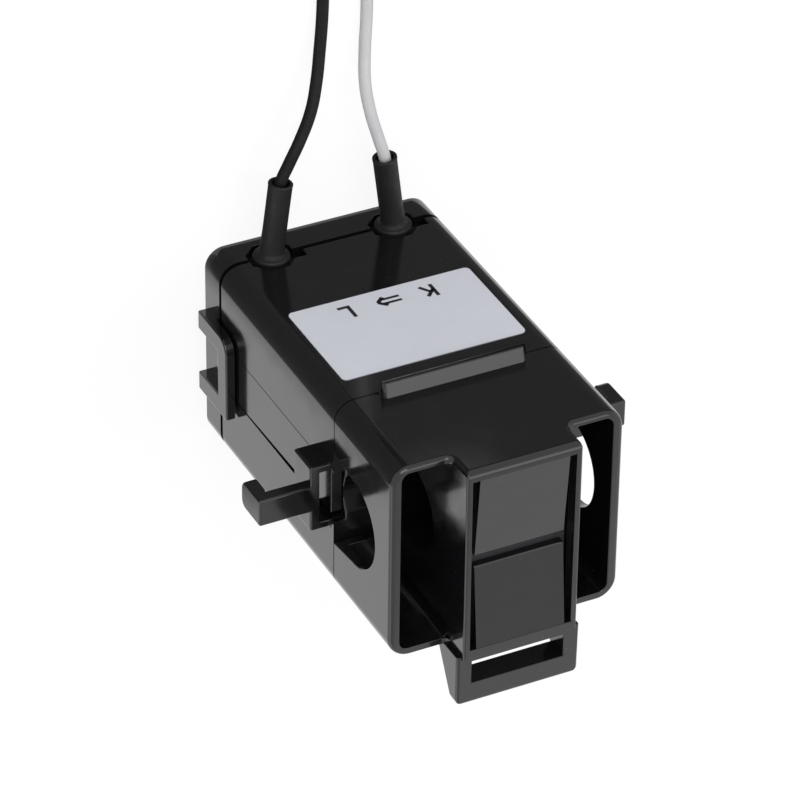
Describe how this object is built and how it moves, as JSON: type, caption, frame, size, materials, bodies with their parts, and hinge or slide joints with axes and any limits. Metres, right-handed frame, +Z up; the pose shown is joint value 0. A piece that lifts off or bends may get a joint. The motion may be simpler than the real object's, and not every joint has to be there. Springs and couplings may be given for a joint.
{
  "type": "split-core current transformer",
  "caption": "Small clip-on current transformer with a hinged jaw around a round conductor opening, cable tie posts on its sides, a rear cover with snap loops, and a black and a white lead.",
  "frame": {"origin": "centre of the rear cover's outer face, on which the part stands", "axes": "+X along the conductor opening, -Y the way the label faces and the leads leave, +Z up from the rear cover to the jaw"},
  "size_m": [0.0613, 0.0846, 0.048],
  "materials": {
    "black_moulding": "glossy black moulded nylon",
    "pin_steel": "drawn steel wire",
    "ferrite": "ground grey ferrite",
    "bobbin_plastic": "natural moulded nylon",
    "enamelled_copper": "enamelled copper wire in layers",
    "polyester_tape": "yellow polyester tape",
    "tinned_brass": "tinned brass pin",
    "diode_epoxy": "black moulded epoxy",
    "label_film": "pale grey printed polyester film",
    "bush_rubber": "matte black rubber",
    "black_insulation": "satin black extruded insulation",
    "white_insulation": "satin white extruded insulation",
    "tinned_copper": "twisted tinned copper strands"
  },
  "bodies": {
    "housing": {"main_housing": "black_moulding", "rear_cover": "black_moulding", "hinge_pin": "pin_steel", "fixed_core": "ferrite", "coil_bobbin": "bobbin_plastic", "secondary_winding": "enamelled_copper", "winding_tape": "polyester_tape", "start_terminal": "tinned_brass", "finish_terminal": "tinned_brass", "protection_diode": "diode_epoxy", "rating_label": "label_film", "black_lead_bush": "bush_rubber", "white_lead_bush": "bush_rubber", "black_lead": "black_insulation", "black_lead_coil": "black_insulation", "black_lead_tail": "black_insulation", "black_lead_tip": "tinned_copper", "white_lead": "white_insulation", "white_lead_coil": "white_insulation", "white_lead_tail": "white_insulation", "white_lead_tip": "tinned_copper"},
    "jaw": {"jaw_housing": "black_moulding", "moving_core": "ferrite"}
  },
  "joints": [
    {"name": "jaw_hinge", "type": "hinge", "parent": "housing", "child": "jaw", "pos_m": [0, 0.013, 0.03148], "axis": [-1, 0, 0], "range_deg": [0, 110]}
  ]
}
